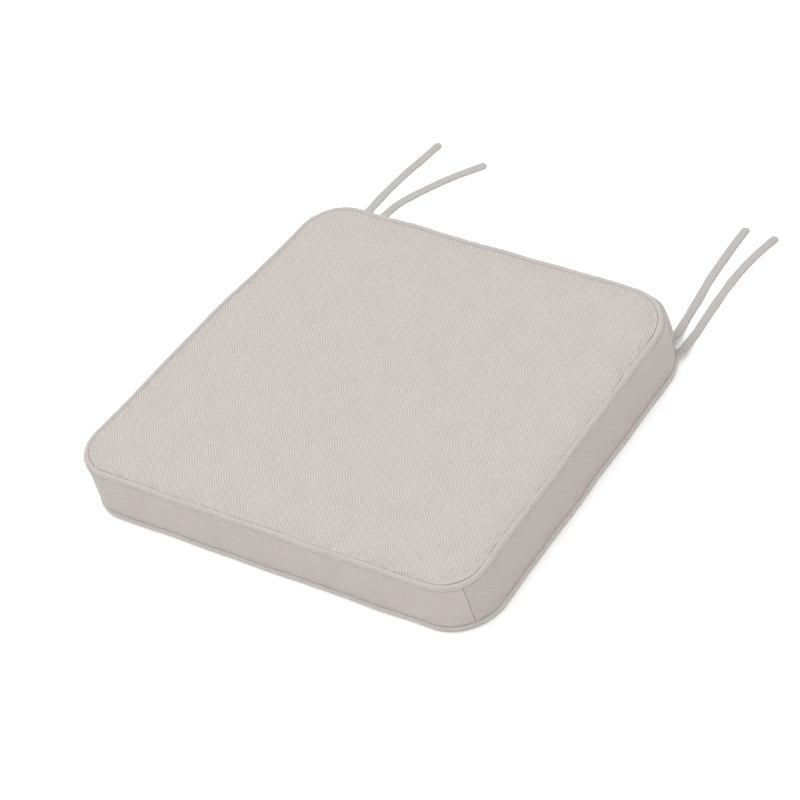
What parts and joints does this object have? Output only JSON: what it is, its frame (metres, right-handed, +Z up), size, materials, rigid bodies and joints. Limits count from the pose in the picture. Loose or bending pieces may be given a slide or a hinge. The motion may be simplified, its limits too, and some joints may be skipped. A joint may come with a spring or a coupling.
{
  "type": "chair seat pad",
  "caption": "Box-edged chair seat pad with a tapered outline, piped seams, a rear zip and flat fabric ties at its rear corners.",
  "frame": {"origin": "on the surface the pad lies on, under the middle of the pad without its ties", "axes": "+X to the right seen from the front, which is the sitter's left, along the front edge; +Y to the back, where the ties and the zip are; +Z up"},
  "size_m": [0.4452, 0.5311, 0.06],
  "materials": {
    "cover_twill": "woven cotton and polyester twill, warm light greige, matt",
    "piping_twill": "the same twill cut on the bias round a filler cord",
    "tie_twill": "the same twill folded and stitched flat",
    "filler_cord": "twisted cotton cord",
    "lining": "thin non-woven polypropylene",
    "wadding": "fluffy polyester wadding",
    "foam": "open-cell polyurethane foam",
    "zip_tape": "fine woven zip tape",
    "zip_coil": "nylon coil",
    "zip_metal": "die-cast zinc, satin nickel plate"
  },
  "bodies": {
    "pad": {"top_panel": "cover_twill", "bottom_panel": "cover_twill", "front_band": "cover_twill", "right_band": "cover_twill", "left_band": "cover_twill", "rear_band_upper": "cover_twill", "rear_band_lower": "cover_twill", "top_piping_cover": "piping_twill", "bottom_piping_cover": "piping_twill", "top_piping_cord": "filler_cord", "bottom_piping_cord": "filler_cord", "inner_liner": "lining", "wadding_wrap": "wadding", "foam_core": "foam", "zip_tape_upper": "zip_tape", "zip_tape_lower": "zip_tape", "zip_coil_upper": "zip_coil", "zip_coil_lower": "zip_coil", "zip_top_stop_upper": "zip_metal", "zip_top_stop_lower": "zip_metal", "zip_bottom_stop": "zip_metal", "tie_left_outer": "tie_twill", "tie_left_inner": "tie_twill", "tie_right_inner": "tie_twill", "tie_right_outer": "tie_twill"},
    "slider": {"zip_slider": "zip_metal"},
    "pull": {"zip_pull": "zip_metal"}
  },
  "joints": [
    {"name": "zip_slide", "type": "slide", "parent": "pad", "child": "slider", "axis": [-1, 0, 0], "range_m": [0, 0.272]},
    {"name": "pull_swing", "type": "hinge", "parent": "slider", "child": "pull", "pos_m": [0.1362, 0.18825, 0.0285], "axis": [0, 0, -1], "range_deg": [0, 180]}
  ]
}
